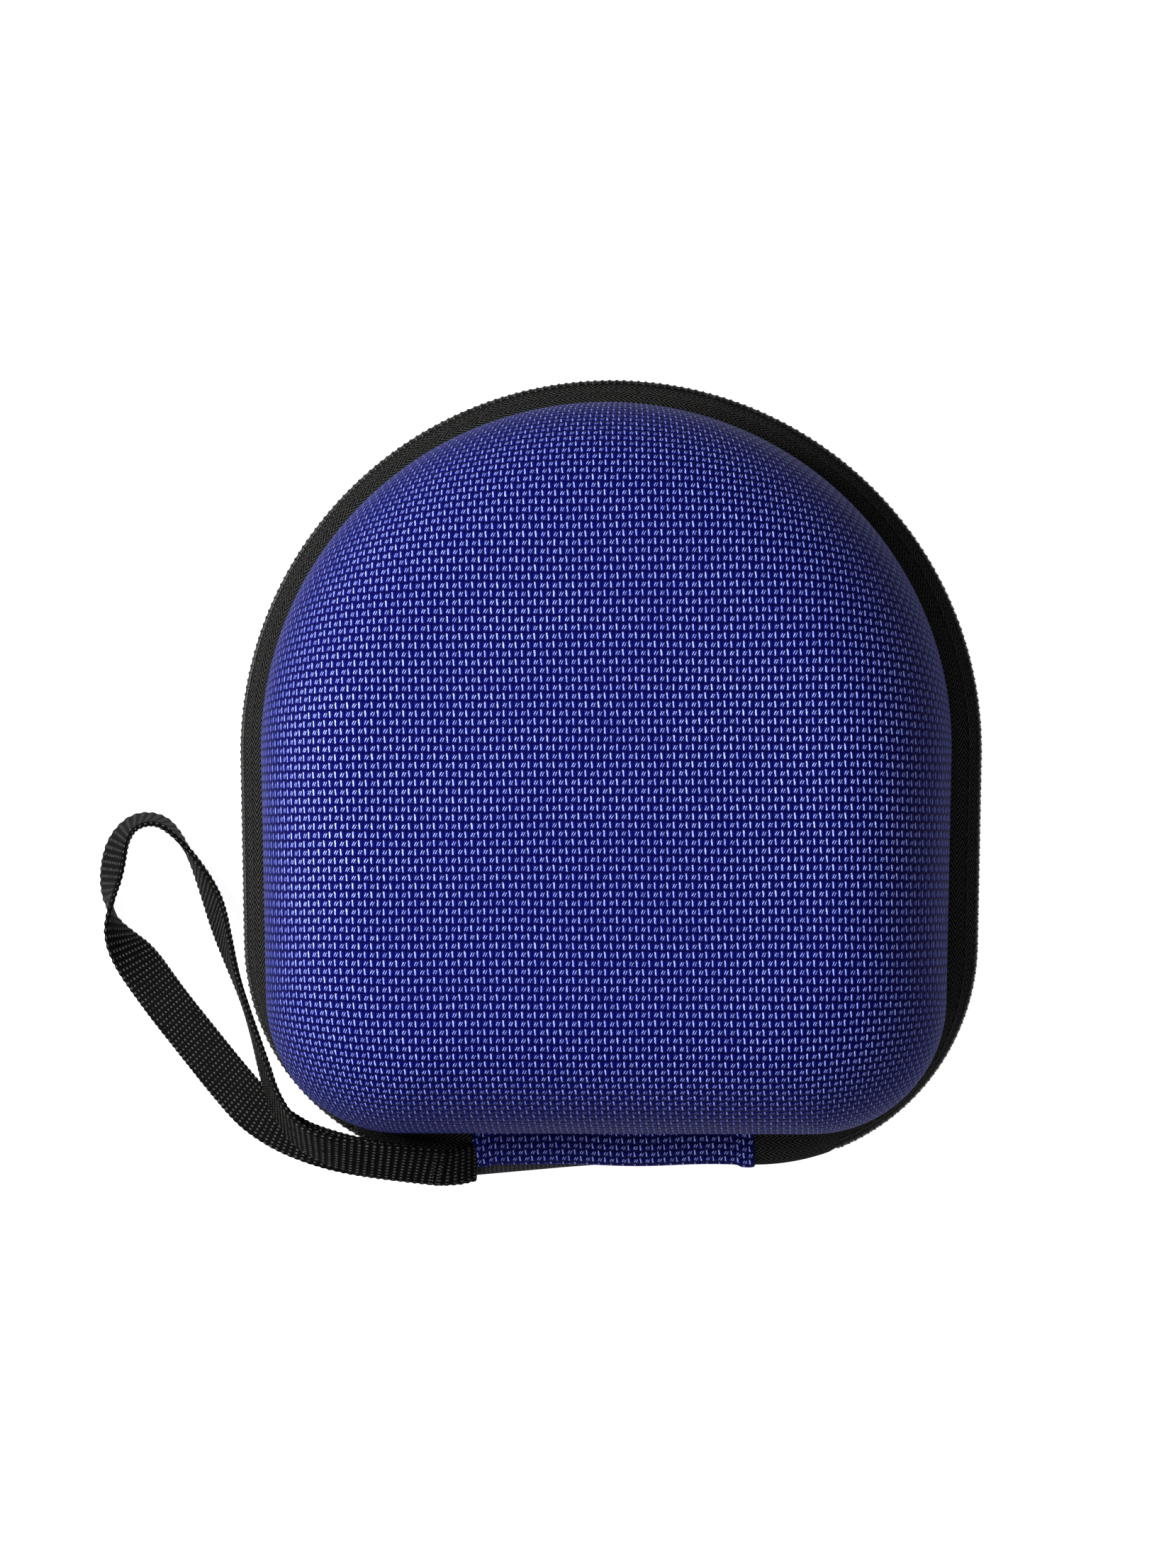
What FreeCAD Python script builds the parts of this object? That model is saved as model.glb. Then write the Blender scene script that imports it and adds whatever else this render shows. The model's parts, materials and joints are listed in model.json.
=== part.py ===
import FreeCAD, Part

# A hard headphone case: two domed foam shells covered in woven fabric, joined along one end by
# a fabric hinge strip and closed round the rest of their edge by a coil zip. The case lies on
# the back of its base shell. +Z is up, +X is to the right and +Y points at the arched end, so
# the hinge lies along X at the -Y end. The origin is on the base's flat back. Millimetres.

import math
import os

Vector = FreeCAD.Vector

# The whole case
HALF_DEPTH = 43.0
MID_Z = HALF_DEPTH
SIDE_TAPER = math.radians(1.4)
ARCH_Y = 4.5

# The ridge, which is the zip's outermost edge
RIDGE_ARCH_R = 76.1
RIDGE_CORNER_R = 45.7
RIDGE_BOTTOM_Y = -80.2

# The dome, at its widest
DOME_ARCH_R = 69.5
DOME_CORNER_R = 27.0
DOME_BOTTOM_Y = -73.3
DOME_WIDEST_H = 11.0
SHOULDER = 26.0
SHOULDER_POWER = 2.2
CORNER_SHRINK = 0.3
ARCH_LEAN = 0.25
SHOULDER_STEPS = 7

# The shell's edge, which turns under a little towards the zip
RIM_H = 6.0
RIM_TURN = 0.9
RIM_BEND_H = 8.0
RIM_BEND_TURN = 0.2

# The shell's layers, from the outside in
SKIN_T = 0.6
FOAM_T = 3.0
LINING_T = 0.5
BINDING_T = 0.9
BINDING_TOP_H = 10.0
BINDING_LIP_H = 5.0
BINDING_LIP_INSET = 2.2

# The zip
COIL_GAP = 0.15
COIL_H = 1.4
COIL_W = 2.1
COIL_TOP_H = COIL_GAP + COIL_H
TAPE_INSET = 0.9
TAPE_T = 0.7
LOOSE_EDGE_GAP = 0.2

# The hinge strip, and the stretch of zip beside it that stays with the base
HINGE_HALF_X = 28.85
HINGE_T = 1.0
HINGE_LINING_T = 0.5
HINGE_RIDGE_H = 1.6
HINGE_RIDGE_BACK = 1.2
TAIL_X = -53.0
TAIL_GAP = 0.3
CHAIN_END_X = -38.2
CUT_Y = -60.0

# The slider, at the closed end of the zip
SLIDER_X = -41.0
SLIDER_LENGTH = 12.0
SLIDER_WAIST = 7.0
SLIDER_GAP = 0.3
SLIDER_INNER_GAP = 0.7
PLATE_T = 1.0
OUTER_HALF_H = 4.2
INNER_HALF_H = 1.9
FLANGE_T = 1.0
FLANGE_INSET = 1.3
POST_LENGTH = 1.8
POST_HALF_H = 1.0
POST_FROM_END = 1.0
BRIDGE_LENGTH = 6.0
BRIDGE_RISE = 3.0
BRIDGE_HALF_H = 1.1
BRIDGE_T = 0.8

# The pull, whose end bar turns inside the bridge
PULL_LENGTH = 15.5
PULL_ROOT_HALF_H = 2.6
PULL_TIP_HALF_H = 2.4
PULL_T = 0.9
PULL_EYE_HALF_H = 1.5
PULL_EYE = (-4.3, -0.55)

# The wrist strap: flat webbing, sewn at both ends to the hinge strip's left end
STRAP_W = 8.0
STRAP_T = 1.2
TACK_X = (-33.0, -26.0)
TACK_OUT_Y = -84.6
TACK_IN_Y = -75.0
TACK_BEND_Y = -78.4
TACK_LOW_Z = 46.1
TACK_IN_LOW_Z = 48.2
TACK_TOP_Z = 49.6
STRAP_ROUTE = [
    (-33.0, -80.6, 47.4),
    (-39.6, -79.9, 48.8),
    (-47.5, -78.9, 49.0),
    (-55.7, -77.5, 46.9),
    (-64.3, -74.5, 42.9),
    (-72.6, -69.5, 37.1),
    (-80.3, -63.1, 30.2),
    (-88.0, -55.5, 22.7),
    (-95.6, -47.6, 15.6),
    (-102.6, -40.0, 8.9),
    (-108.3, -32.9, 4.6),
    (-111.2, -25.5, 3.05),
    (-110.9, -18.7, 2.6),
    (-109.0, -12.6, 2.5),
    (-104.9, -8.5, 2.5),
    (-99.4, -8.1, 2.7),
    (-95.0, -11.8, 3.1),
    (-91.6, -17.9, 4.95),
    (-87.5, -26.4, 9.8),
    (-83.2, -35.7, 16.7),
    (-79.2, -43.9, 22.7),
    (-75.5, -52.2, 29.4),
    (-72.1, -60.3, 36.2),
    (-68.6, -67.9, 43.0),
    (-63.3, -74.1, 48.9),
    (-56.2, -77.2, 51.6),
    (-48.1, -78.8, 52.0),
    (-40.2, -79.8, 51.3),
    (-33.0, -80.6, 48.9),
]
ARC_SHARE = 0.45


def tapered_outline(arch_r, arch_y, corner_r, bottom_y, h):
    """A closed wire at height h: an arch, two sides that close in a little, two round corners and a
    straight bottom, each tangent to the next."""
    side = Vector(math.cos(SIDE_TAPER), -math.sin(SIDE_TAPER), 0)
    corner_y = bottom_y + corner_r
    corner_x = (arch_r - corner_r + side.y * (arch_y - corner_y)) / side.x
    half_turn = (math.pi / 2 + SIDE_TAPER) / 2
    middle = Vector(math.cos(half_turn), -math.sin(half_turn), 0)
    right = [
        Vector(0, arch_y, h) + side * arch_r,
        Vector(corner_x, corner_y, h) + side * corner_r,
        Vector(corner_x, corner_y, h) + middle * corner_r,
        Vector(corner_x, bottom_y, h),
    ]
    left = [Vector(-p.x, p.y, p.z) for p in right]
    top = Vector(0, arch_y + arch_r, h)
    edges = [
        Part.Arc(right[0], top, left[0]).toShape(),
        Part.makeLine(left[0], left[1]),
        Part.Arc(left[1], left[2], left[3]).toShape(),
        Part.makeLine(left[3], right[3]),
        Part.Arc(right[3], right[2], right[1]).toShape(),
        Part.makeLine(right[1], right[0]),
    ]
    return Part.Wire(edges)


def ridge_outline(inset, h):
    """The ridge's outline, moved inwards by inset."""
    return tapered_outline(
        RIDGE_ARCH_R - inset, ARCH_Y, RIDGE_CORNER_R - inset, RIDGE_BOTTOM_Y + inset, h
    )


def dome_outline(inset, h):
    """The dome's outline, moved inwards by inset. The arched end leans in further than the sides."""
    return tapered_outline(
        DOME_ARCH_R - inset,
        ARCH_Y - ARCH_LEAN * inset,
        DOME_CORNER_R - CORNER_SHRINK * inset,
        DOME_BOTTOM_Y + inset,
        h,
    )


def block(wire, height):
    """The wire's area, raised by height."""
    return Part.Face(wire).extrude(Vector(0, 0, height))


def dome_solid(depth):
    """The solid inside a surface that lies depth below the outside of the dome."""
    sections = [
        dome_outline(RIM_TURN + depth, RIM_H),
        dome_outline(RIM_BEND_TURN + depth, RIM_BEND_H),
    ]
    rise = HALF_DEPTH - DOME_WIDEST_H - depth
    for step in range(SHOULDER_STEPS + 1):
        angle = math.pi / 2 * step / SHOULDER_STEPS
        along = math.sin(angle) ** (2 / SHOULDER_POWER)
        inwards = 1 - max(math.cos(angle), 0.0) ** (2 / SHOULDER_POWER)
        inset = depth + (SHOULDER - depth) * inwards
        sections.append(dome_outline(inset, DOME_WIDEST_H + rise * along))
    return Part.makeLoft(sections, True, True)


def shell_layers():
    """The fabric skin, the foam shell and the lining of one half, each lying on the next."""
    depths = [0.0, SKIN_T, SKIN_T + FOAM_T, SKIN_T + FOAM_T + LINING_T]
    solids = [dome_solid(depth) for depth in depths]
    names = ["fabric_skin", "foam_shell", "lining"]
    pairs = zip(names, solids[:-1], solids[1:])
    return {name: outer.cut(inner) for name, outer, inner in pairs}


def rim_binding():
    """The bias binding inside the shell's edge, with a lip that covers the cut end of the foam."""
    lining_inset = RIM_TURN + SKIN_T + FOAM_T + LINING_T
    lip = block(dome_outline(BINDING_LIP_INSET, BINDING_LIP_H), RIM_H - BINDING_LIP_H)
    wall = block(dome_outline(lining_inset, RIM_H), BINDING_TOP_H - RIM_H)
    inside = block(
        dome_outline(lining_inset + BINDING_T, BINDING_LIP_H), BINDING_TOP_H - BINDING_LIP_H
    )
    return lip.fuse(wall).cut(inside).removeSplitter()


def zip_tape(top_h):
    """The band of zip tape from the coil up to the shell's edge, all the way round."""
    surfaces = []
    for inset in (0.0, TAPE_T):
        low = ridge_outline(TAPE_INSET + inset, COIL_TOP_H)
        high = dome_outline(RIM_TURN + inset, top_h)
        surfaces.append(Part.makeLoft([low, high], True, True))
    return surfaces[0].cut(surfaces[1])


def zip_coil():
    """One half of the zip's coil as a plain rail, all the way round."""
    return block(ridge_outline(0.0, COIL_GAP), COIL_H).cut(
        block(ridge_outline(COIL_W, COIL_GAP), COIL_H)
    )


def hinge_zone(low_x, high_x):
    """A block round the hinge end of the case between two X values."""
    size = 2 * HALF_DEPTH
    corner = Vector(low_x, CUT_Y - size, -HALF_DEPTH)
    return Part.makeBox(high_x - low_x, size, size, corner)


def bent_strip(outside, thickness, half_x, edge_h):
    """A strip bent round the ridge, with its outer face outside behind the ridge line."""
    edge_y = DOME_BOTTOM_Y + RIM_TURN + outside
    ridge_y = RIDGE_BOTTOM_Y + outside

    def profile(depth):
        bend_y = ridge_y + HINGE_RIDGE_BACK + depth
        return [
            Vector(-half_x, edge_y + depth, edge_h),
            Vector(-half_x, bend_y, HINGE_RIDGE_H),
            Vector(-half_x, ridge_y + depth, 0),
            Vector(-half_x, bend_y, -HINGE_RIDGE_H),
            Vector(-half_x, edge_y + depth, -edge_h),
        ]

    outer = profile(0.0)
    inner = profile(thickness)
    edges = [
        Part.makeLine(outer[0], outer[1]),
        Part.Arc(outer[1], outer[2], outer[3]).toShape(),
        Part.makeLine(outer[3], outer[4]),
        Part.makeLine(outer[4], inner[4]),
        Part.makeLine(inner[4], inner[3]),
        Part.Arc(inner[3], inner[2], inner[1]).toShape(),
        Part.makeLine(inner[1], inner[0]),
        Part.makeLine(inner[0], outer[0]),
    ]
    return Part.Face(Part.Wire(edges)).extrude(Vector(2 * half_x, 0, 0))


def slider_place():
    """The slider's place: a point on the ridge, the way along the zip and the way out of it."""
    corner_y = RIDGE_BOTTOM_Y + RIDGE_CORNER_R
    side = Vector(math.cos(SIDE_TAPER), -math.sin(SIDE_TAPER), 0)
    corner_x = (RIDGE_ARCH_R - RIDGE_CORNER_R + side.y * (ARCH_Y - corner_y)) / side.x
    centre = Vector(-corner_x, corner_y, 0)
    across = SLIDER_X - centre.x
    out = Vector(across, -math.sqrt(RIDGE_CORNER_R**2 - across**2), 0).normalize()
    along = Vector(-out.y, out.x, 0)
    return centre, centre + out * RIDGE_CORNER_R, along, out


def placed(shape, origin, along, out):
    """The shape, turned so that its X lies along the zip and its Y points inwards from origin."""
    matrix = FreeCAD.Matrix()
    matrix.A11, matrix.A21 = along.x, along.y
    matrix.A12, matrix.A22 = -out.x, -out.y
    matrix.A14, matrix.A24 = origin.x, origin.y
    return shape.transformed(matrix)


def centred_box(low_x, high_x, low_y, high_y, half_h):
    """A box between these X and Y values, half above and half below the parting plane."""
    return Part.makeBox(
        high_x - low_x, high_y - low_y, 2 * half_h, Vector(low_x, low_y, -half_h)
    )


def tapered_plate(low_y, high_y, half_h):
    """A plate whose end towards the closed chain is narrower, like a slider's."""
    end = SLIDER_LENGTH / 2
    waist = half_h * SLIDER_WAIST / (2 * OUTER_HALF_H)
    points = [
        Vector(-end, low_y, -waist),
        Vector(0, low_y, -half_h),
        Vector(end, low_y, -half_h),
        Vector(end, low_y, half_h),
        Vector(0, low_y, half_h),
        Vector(-end, low_y, waist),
    ]
    wire = Part.makePolygon(points + points[:1])
    return Part.Face(wire).extrude(Vector(0, high_y - low_y, 0))


def slider_body():
    """Two plates either side of the coil, joined by the wedge, with flanges on the outer one."""
    end = SLIDER_LENGTH / 2
    outer_y = (-SLIDER_GAP - PLATE_T, -SLIDER_GAP)
    inner_y = (COIL_W + SLIDER_INNER_GAP, COIL_W + SLIDER_INNER_GAP + PLATE_T)
    outer = tapered_plate(*outer_y, OUTER_HALF_H)
    inner = tapered_plate(*inner_y, INNER_HALF_H)
    post_end = end - POST_FROM_END
    post = centred_box(post_end - POST_LENGTH, post_end, outer_y[1], inner_y[0], POST_HALF_H)
    skirt = tapered_plate(outer_y[1], FLANGE_INSET, OUTER_HALF_H)
    opening = tapered_plate(outer_y[1], FLANGE_INSET, OUTER_HALF_H - FLANGE_T)
    ends = centred_box(-2 * end, 2 * end, outer_y[1], FLANGE_INSET, OUTER_HALF_H - FLANGE_T)
    flanges = skirt.cut(opening).cut(ends)
    return outer.fuse([inner, post, flanges]).removeSplitter()


def slider_bridge():
    """The loop on the slider's outer plate that holds the pull."""
    low_y = -SLIDER_GAP - PLATE_T
    half = BRIDGE_LENGTH / 2
    outer = centred_box(-half, half, low_y - BRIDGE_RISE, low_y, BRIDGE_HALF_H)
    inner = centred_box(
        BRIDGE_T - half, half - BRIDGE_T, low_y - BRIDGE_RISE + BRIDGE_T, low_y, BRIDGE_HALF_H
    )
    return outer.cut(inner)


def bridge_axis_y():
    """The Y of the pull's hinge axis, in the middle of the bridge's opening."""
    return -SLIDER_GAP - PLATE_T - (BRIDGE_RISE - BRIDGE_T) / 2


def pull_tab():
    """The pull, with an eye round the bridge and its end bar on the hinge axis, lying along the zip."""
    end = PULL_T / 2
    points = [
        Vector(end, -end, -PULL_ROOT_HALF_H),
        Vector(-PULL_LENGTH, -end, -PULL_TIP_HALF_H),
        Vector(-PULL_LENGTH, -end, PULL_TIP_HALF_H),
        Vector(end, -end, PULL_ROOT_HALF_H),
    ]
    wire = Part.makePolygon(points + points[:1])
    plate = Part.Face(wire).extrude(Vector(0, PULL_T, 0))
    return plate.cut(centred_box(*PULL_EYE, -PULL_T, PULL_T, PULL_EYE_HALF_H))


def strap_path():
    """The strap's centre line: straight runs joined by tangent arcs, with the arcs' radii."""
    points = [Vector(*p) for p in STRAP_ROUTE]
    edges = []
    radii = []
    start = points[0]
    for before, corner, after in zip(points, points[1:], points[2:]):
        back = before - corner
        ahead = after - corner
        reach = ARC_SHARE * min(back.Length, ahead.Length)
        turn = math.pi - back.getAngle(ahead)
        back.normalize()
        ahead.normalize()
        radius = reach / math.tan(turn / 2)
        entry = corner + back * reach
        leave = corner + ahead * reach
        inward = (back + ahead).normalize()
        centre_far = math.hypot(reach, radius)
        middle = corner + inward * (centre_far - radius)
        edges.append(Part.LineSegment(start, entry).toShape())
        edges.append(Part.Arc(entry, middle, leave).toShape())
        radii.append(radius)
        start = leave
    edges.append(Part.LineSegment(start, points[-1]).toShape())
    return Part.Wire(edges), radii


def wrist_strap():
    """The webbing as a flat ribbon along its whole path."""
    path, radii = strap_path()
    first = Vector(*STRAP_ROUTE[0])
    ahead = (Vector(*STRAP_ROUTE[1]) - first).normalize()
    across = ahead.cross(Vector(0, 0, 1)).normalize() * (STRAP_W / 2)
    up = across.cross(ahead).normalize() * (STRAP_T / 2)
    corners = [first + across + up, first - across + up, first - across - up, first + across - up]
    section = Part.makePolygon(corners + corners[:1])
    sweep = Part.BRepOffsetAPI.MakePipeShell(path)
    sweep.setFrenetMode(False)
    sweep.add(section)
    sweep.build()
    sweep.makeSolid()
    ribbon = sweep.shape()
    print("strap arc radii:", ", ".join(f"{r:.1f}" for r in radii))
    print(f"strap length {path.Length:.1f}, lowest point {ribbon.optimalBoundingBox(False).ZMin:.3f}")
    print(f"strap volume {ribbon.Volume:.0f}, section by length {STRAP_W * STRAP_T * path.Length:.0f}")
    return ribbon


def strap_tack():
    """The two ends of the strap, sewn one on the other across the hinge strip's left end."""
    low_x, high_x = TACK_X
    points = [
        Vector(low_x, TACK_OUT_Y, TACK_LOW_Z),
        Vector(low_x, TACK_BEND_Y, TACK_LOW_Z),
        Vector(low_x, TACK_IN_Y, TACK_IN_LOW_Z),
        Vector(low_x, TACK_IN_Y, TACK_TOP_Z),
        Vector(low_x, TACK_OUT_Y, TACK_TOP_Z),
    ]
    wire = Part.makePolygon(points + points[:1])
    return Part.Face(wire).extrude(Vector(high_x - low_x, 0, 0))


def as_lid(shape):
    """A half made above the parting plane, as the lid."""
    copy = shape.copy()
    copy.translate(Vector(0, 0, MID_Z))
    return copy


def as_base(shape):
    """A half made above the parting plane, turned over as the base."""
    copy = shape.mirror(Vector(0, 0, 0), Vector(0, 0, 1))
    copy.translate(Vector(0, 0, MID_Z))
    return copy


def make_nodes():
    """Every piece of the case by its name."""
    nodes = {}
    half = shell_layers()
    half["rim_binding"] = rim_binding()
    for name, shape in half.items():
        nodes[f"base_{name}"] = as_base(shape)
        nodes[f"lid_{name}"] = as_lid(shape)

    tape = zip_tape(RIM_H)
    coil = zip_coil()
    behind_hinge = hinge_zone(-HINGE_HALF_X - TAIL_GAP, HINGE_HALF_X + TAIL_GAP)
    past_chain = hinge_zone(CHAIN_END_X, HINGE_HALF_X + TAIL_GAP)
    past_tail = hinge_zone(TAIL_X, HINGE_HALF_X + TAIL_GAP)
    nodes["base_zip_tape"] = as_base(tape.cut(behind_hinge))
    nodes["base_zip_coil"] = as_base(coil.cut(past_chain))
    nodes["lid_zip_tape"] = as_lid(tape.cut(past_tail))
    nodes["lid_zip_coil"] = as_lid(coil.cut(past_tail))
    tail_tape = zip_tape(RIM_H - LOOSE_EDGE_GAP)
    tape_zone = hinge_zone(TAIL_X + TAIL_GAP, -HINGE_HALF_X - TAIL_GAP)
    coil_zone = hinge_zone(TAIL_X + TAIL_GAP, CHAIN_END_X)
    nodes["zip_tail_tape"] = as_lid(tail_tape.common(tape_zone))
    nodes["zip_tail_coil"] = as_lid(coil.common(coil_zone))

    strip_h = RIM_H - LOOSE_EDGE_GAP
    lining_h = BINDING_LIP_H - LOOSE_EDGE_GAP
    nodes["hinge_strip"] = as_lid(bent_strip(0.0, HINGE_T, HINGE_HALF_X, strip_h))
    nodes["hinge_lining"] = as_lid(
        bent_strip(HINGE_T, HINGE_LINING_T, HINGE_HALF_X - HINGE_T, lining_h)
    )

    centre, origin, along, out = slider_place()
    print("slider run centre", centre, "slider at", origin)
    for name, shape in (("slider_body", slider_body()), ("slider_bridge", slider_bridge())):
        nodes[name] = as_lid(placed(shape, origin, along, out))
    pin = origin - out * bridge_axis_y()
    print("pull hinge at", pin)
    nodes["pull_tab"] = as_lid(placed(pull_tab(), pin, along, out))

    nodes["wrist_strap"] = wrist_strap()
    nodes["strap_tack"] = strap_tack()
    return nodes


os.makedirs("parts", exist_ok=True)
for node, solid in make_nodes().items():
    if not solid.isValid() or len(solid.Solids) != 1:
        print("check", node, "valid", solid.isValid(), "solids", len(solid.Solids))
    solid.exportStep(f"parts/{node}.step")
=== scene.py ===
import json
import math

import bmesh
import bpy
import numpy as np
from mathutils import Matrix, Vector


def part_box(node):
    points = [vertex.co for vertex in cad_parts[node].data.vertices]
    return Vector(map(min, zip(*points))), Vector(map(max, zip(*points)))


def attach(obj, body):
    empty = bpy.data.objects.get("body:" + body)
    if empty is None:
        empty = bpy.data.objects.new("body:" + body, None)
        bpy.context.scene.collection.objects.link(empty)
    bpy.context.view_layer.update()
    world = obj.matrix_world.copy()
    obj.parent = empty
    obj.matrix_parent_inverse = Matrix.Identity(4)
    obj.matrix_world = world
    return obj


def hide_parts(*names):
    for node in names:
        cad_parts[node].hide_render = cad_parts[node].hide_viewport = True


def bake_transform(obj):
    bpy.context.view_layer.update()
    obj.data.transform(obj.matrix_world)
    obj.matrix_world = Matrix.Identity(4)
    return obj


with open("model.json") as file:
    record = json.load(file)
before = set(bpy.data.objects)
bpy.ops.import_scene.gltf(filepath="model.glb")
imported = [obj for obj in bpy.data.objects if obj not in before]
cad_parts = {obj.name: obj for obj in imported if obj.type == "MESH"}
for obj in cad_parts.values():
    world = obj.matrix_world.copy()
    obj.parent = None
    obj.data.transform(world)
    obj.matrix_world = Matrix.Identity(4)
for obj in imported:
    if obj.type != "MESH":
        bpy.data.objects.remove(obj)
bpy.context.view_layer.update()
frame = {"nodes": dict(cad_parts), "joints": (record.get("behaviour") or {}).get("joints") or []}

MM = 0.001

# Places, read from the frame
JOINTS = {joint["name"]: joint for joint in frame["joints"]}
HINGE = Vector(JOINTS["lid_hinge"]["pos_m"])
MID_Z = HINGE.z
COIL_LOW, COIL_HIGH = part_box("base_zip_coil")
SKIN_LOW, SKIN_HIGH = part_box("lid_fabric_skin")
STRIP_LOW, STRIP_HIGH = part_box("hinge_strip")
TAIL_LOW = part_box("zip_tail_tape")[0]
CHAIN_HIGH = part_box("zip_tail_coil")[1]

# The ridge and the dome, as outlines: arch radius, arch centre, corner radius and bottom
TAPER = math.radians(1.4)
RIDGE_ARCH_R = COIL_HIGH[0]
RIDGE_BOTTOM = COIL_LOW[1]
RIDGE_CORNER_R = 45.7 * MM
ARCH_Y = COIL_HIGH[1] - RIDGE_ARCH_R
DOME_ARCH_R = SKIN_HIGH[0]
DOME_BOTTOM = SKIN_LOW[1]
DOME_CORNER_R = 27.0 * MM
CORNER_SHRINK = 0.3
ARCH_LEAN = 0.25

# The dome's profile, measured up from the parting plane
HALF_DEPTH = SKIN_HIGH[2] - MID_Z
WIDEST_H = 11.0 * MM
SHOULDER = 26.0 * MM
SHOULDER_POWER = 2.2
RIM_H = SKIN_LOW[2] - MID_Z
SKIN_T = 0.6 * MM
FOAM_T = 3.0 * MM
LINING_T = 0.5 * MM
LID_CROWN = 0.7 * MM

# The zip
COIL_PITCH = 1.5 * MM
COIL_INSET = 1.06 * MM
COIL_H = 0.84 * MM
COIL_R_ACROSS = 0.61 * MM
COIL_R_UP = 0.60 * MM
FILAMENT_R = 0.42 * MM
COIL_CORD_R = 0.80 * MM
TAPE_INSET = 0.9 * MM
TAPE_LOW_H = 1.6 * MM
TAPE_T = 0.6 * MM
TAPE_BULGE = 0.45 * MM
TAPE_RIM_INSET = 1.3 * MM
TAPE_END_INSET = 0.15 * MM
TAPE_END_H = 0.15 * MM
TAPE_TURN = 4.0 * MM

# The hinge strip's section: its edge under the rim, and the bend where it meets the round ridge
STRIP_EDGE_INSET = 1.2 * MM
STRIP_EDGE_DROP = 0.2 * MM
STRIP_BEND_BACK = 1.3 * MM
STRIP_BEND_H = 1.9 * MM
STRIP_BEND_DEG = 40

# The strip's two cloths: where they end, and how deep each lies below the outside
STRIP_LEFT = STRIP_LOW[0] + 1.3 * MM
STRIP_RIGHT = STRIP_HIGH[0] + 0.8 * MM
STRIP_DEPTHS = (0.0, 1.0 * MM)
BACKING_DEPTHS = (1.05 * MM, 1.5 * MM)

# The backing's dark edge that hangs out below the ridge, put there as painted shade under the strip's fold:
# how far it hangs out, how far below the ridge it is widest, and its spread
SHADE_LIP_REACH = 4.4 * MM
SHADE_LIP_DROP = 1.9 * MM
SHADE_LIP_SPREAD = 1.5 * MM

# The weave of the blue fabric, as yarn pitches, and its colours: dark between the yarns, mid on them, and
# bright for the painted glints of light on the filaments
WARP_PITCH = 1.225 * MM
WEFT_PITCH = 1.67 * MM
WEAVE_DARK = (0.0008, 0.0008, 0.032, 1)
WEAVE_MID = (0.0022, 0.0030, 0.104, 1)
WEAVE_PAINTED_GLINT = (0.39, 0.47, 1.0, 1)

# The gloss of dull cloth
CLOTH_GLOSS = 0.02

# The studio, in metres and watts: the lamps' places, sizes and powers. The floor is a light table
LAMPS = {
    "key": ((-0.3, 0.1, 0.44), 0.2, 5.5),
    "fill": ((0.25, -0.7, 0.7), 0.9, 2.8),
}
WORLD_LIGHT = 0.14
FLOOR_GLOW = 0.93
FLOOR_HALF = 3.0

# The camera: how far it leans from straight above, and the height that it sees at its target
CAMERA_LEAN_RIGHT = math.radians(3.64)
CAMERA_LEAN_TO_HINGE = math.radians(2.53)
CAMERA_TARGET = Vector((-4.3 * MM, -2.53 * MM, MID_Z))
CAMERA_DISTANCE = 0.8
SEEN_HEIGHT = 0.3208

# The strap, whose route is that of its CAD solid with some points moved a little
STRAP_W = 8.0 * MM
STRAP_WIDE = 9.2 * MM
SELVEDGE = 0.2 * MM
STRAP_T = 1.2 * MM
RIB_PITCH = 1.5 * MM
STRAP_ROUTE = [
    (-0.0330, -0.0806, 0.0474),
    (-0.0396, -0.0799, 0.0488),
    (-0.0475, -0.0789, 0.0490),
    (-0.0557, -0.0775, 0.0469),
    (-0.0646, -0.0749, 0.0429),
    (-0.0731, -0.0701, 0.0371),
    (-0.0803, -0.0634, 0.0302),
    (-0.0879, -0.0557, 0.0227),
    (-0.0956, -0.0478, 0.0156),
    (-0.1025, -0.0400, 0.0089),
    (-0.1081, -0.0328, 0.0066),
    (-0.1103, -0.0255, 0.0054),
    (-0.1096, -0.0187, 0.0052),
    (-0.1083, -0.0126, 0.0052),
    (-0.1049, -0.0085, 0.0052),
    (-0.0994, -0.0081, 0.0052),
    (-0.0952, -0.0118, 0.0055),
    (-0.0914, -0.0177, 0.0067),
    (-0.0867, -0.0262, 0.0103),
    (-0.0827, -0.0356, 0.0167),
    (-0.0792, -0.0439, 0.0227),
    (-0.0755, -0.0522, 0.0294),
    (-0.0721, -0.0603, 0.0362),
    (-0.0686, -0.0679, 0.0430),
    (-0.0633, -0.0741, 0.0489),
    (-0.0562, -0.0772, 0.0516),
    (-0.0481, -0.0788, 0.0520),
    (-0.0402, -0.0798, 0.0513),
    (-0.0330, -0.0806, 0.0489),
]
# The two sewn ends, the lower layer and the upper one
TACK_ROUTES = (
    [
        (-0.0352, -0.0804, 0.0478),
        (-0.0330, -0.0806, 0.0473),
        (-0.0310, -0.0806, 0.0464),
        (-0.0290, -0.0803, 0.0449),
        (-0.0272, -0.0798, 0.0433),
    ],
    [
        (-0.0352, -0.0804, 0.0496),
        (-0.0330, -0.0806, 0.0489),
        (-0.0310, -0.0804, 0.0479),
        (-0.0290, -0.0799, 0.0464),
        (-0.0272, -0.0793, 0.0447),
    ],
)
# The webbing's width against the share of its length: the sewing draws its two ends in
STRAP_WIDTHS = (
    [0.0, 0.12, 0.18, 0.82, 0.89, 1.0],
    [STRAP_W, STRAP_W, STRAP_WIDE, STRAP_WIDE, STRAP_W, STRAP_W],
)
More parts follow.
